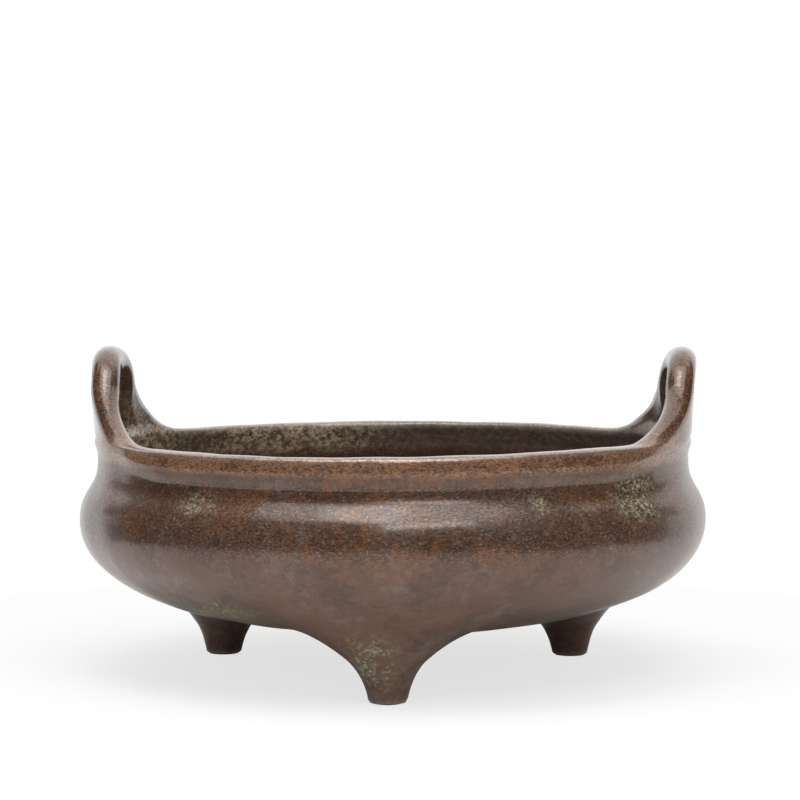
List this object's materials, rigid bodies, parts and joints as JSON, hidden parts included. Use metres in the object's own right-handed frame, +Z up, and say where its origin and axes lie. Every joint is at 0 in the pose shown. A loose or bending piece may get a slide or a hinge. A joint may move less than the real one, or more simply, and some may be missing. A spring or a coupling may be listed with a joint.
{
  "type": "incense burner",
  "caption": "Squat tripod incense burner in patinated bronze, with a round belly, an upright lip, two arched loop ears on the rim and short conical feet.",
  "frame": {"origin": "on the surface that the feet stand on, below the middle of the bowl", "axes": "+Z up, -Y towards the front foot, +X towards the right ear"},
  "size_m": [0.18, 0.18, 0.0934],
  "materials": {
    "patinated_bronze": "cast bronze, brown patina rubbed to a soft shine, with green corrosion in places"
  },
  "bodies": {
    "root": {"bowl": "patinated_bronze", "ear_left": "patinated_bronze", "ear_right": "patinated_bronze", "foot_front": "patinated_bronze", "foot_rear_left": "patinated_bronze", "foot_rear_right": "patinated_bronze"}
  },
  "joints": []
}
